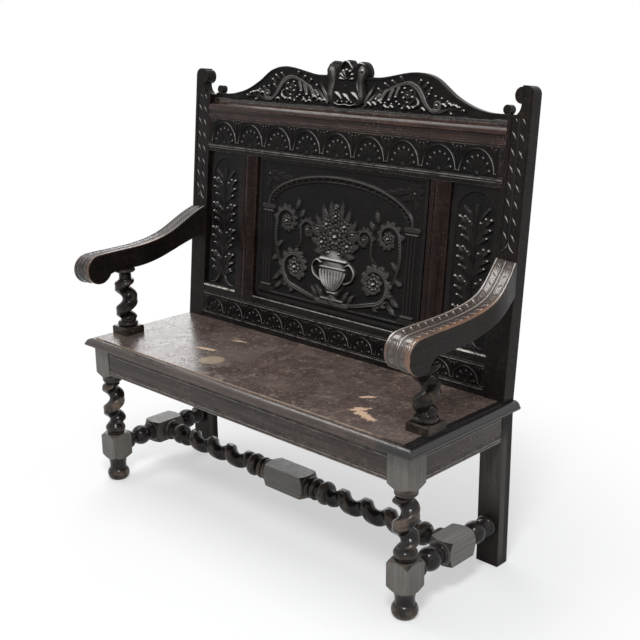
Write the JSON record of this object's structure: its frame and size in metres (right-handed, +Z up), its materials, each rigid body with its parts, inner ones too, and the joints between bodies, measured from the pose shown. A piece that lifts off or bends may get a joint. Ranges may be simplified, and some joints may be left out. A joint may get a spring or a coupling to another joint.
{
  "type": "settle bench",
  "caption": "Carved oak settle bench with a tall leaning panelled back, scroll arms on twisted supports, and twist-turned legs and stretchers.",
  "frame": {"origin": "on the floor under the middle of the whole bench", "axes": "+X along the seat to the sitter's left (the right end seen from the front), +Y from the front towards the back, +Z up"},
  "size_m": [1.2558, 0.516, 1.2451],
  "materials": {
    "black_oak": "satin",
    "rubbed_oak": "satin",
    "arm_oak": "satin",
    "seat_oak": "satin, worn"
  },
  "bodies": {
    "root": {"arm_left": "arm_oak", "arm_right": "arm_oak", "arm_support_left": "black_oak", "arm_support_right": "black_oak", "bottom_rail": "black_oak", "cornice_moulding": "rubbed_oak", "crest_board": "black_oak", "crest_cartouche": "black_oak", "crest_lip": "black_oak", "cross_stretcher": "black_oak", "frieze_rail": "black_oak", "front_apron": "black_oak", "front_leg_left": "black_oak", "front_leg_right": "black_oak", "muntin_left": "rubbed_oak", "muntin_right": "rubbed_oak", "panel_centre": "black_oak", "panel_left": "black_oak", "panel_right": "black_oak", "rear_apron": "black_oak", "rear_post_left": "black_oak", "rear_post_right": "black_oak", "seat_board": "seat_oak", "side_apron_left": "black_oak", "side_apron_right": "black_oak", "side_stretcher_left": "black_oak", "side_stretcher_right": "black_oak", "sill_bead_centre": "black_oak", "sill_bead_left": "black_oak", "sill_bead_right": "black_oak"}
  },
  "joints": []
}
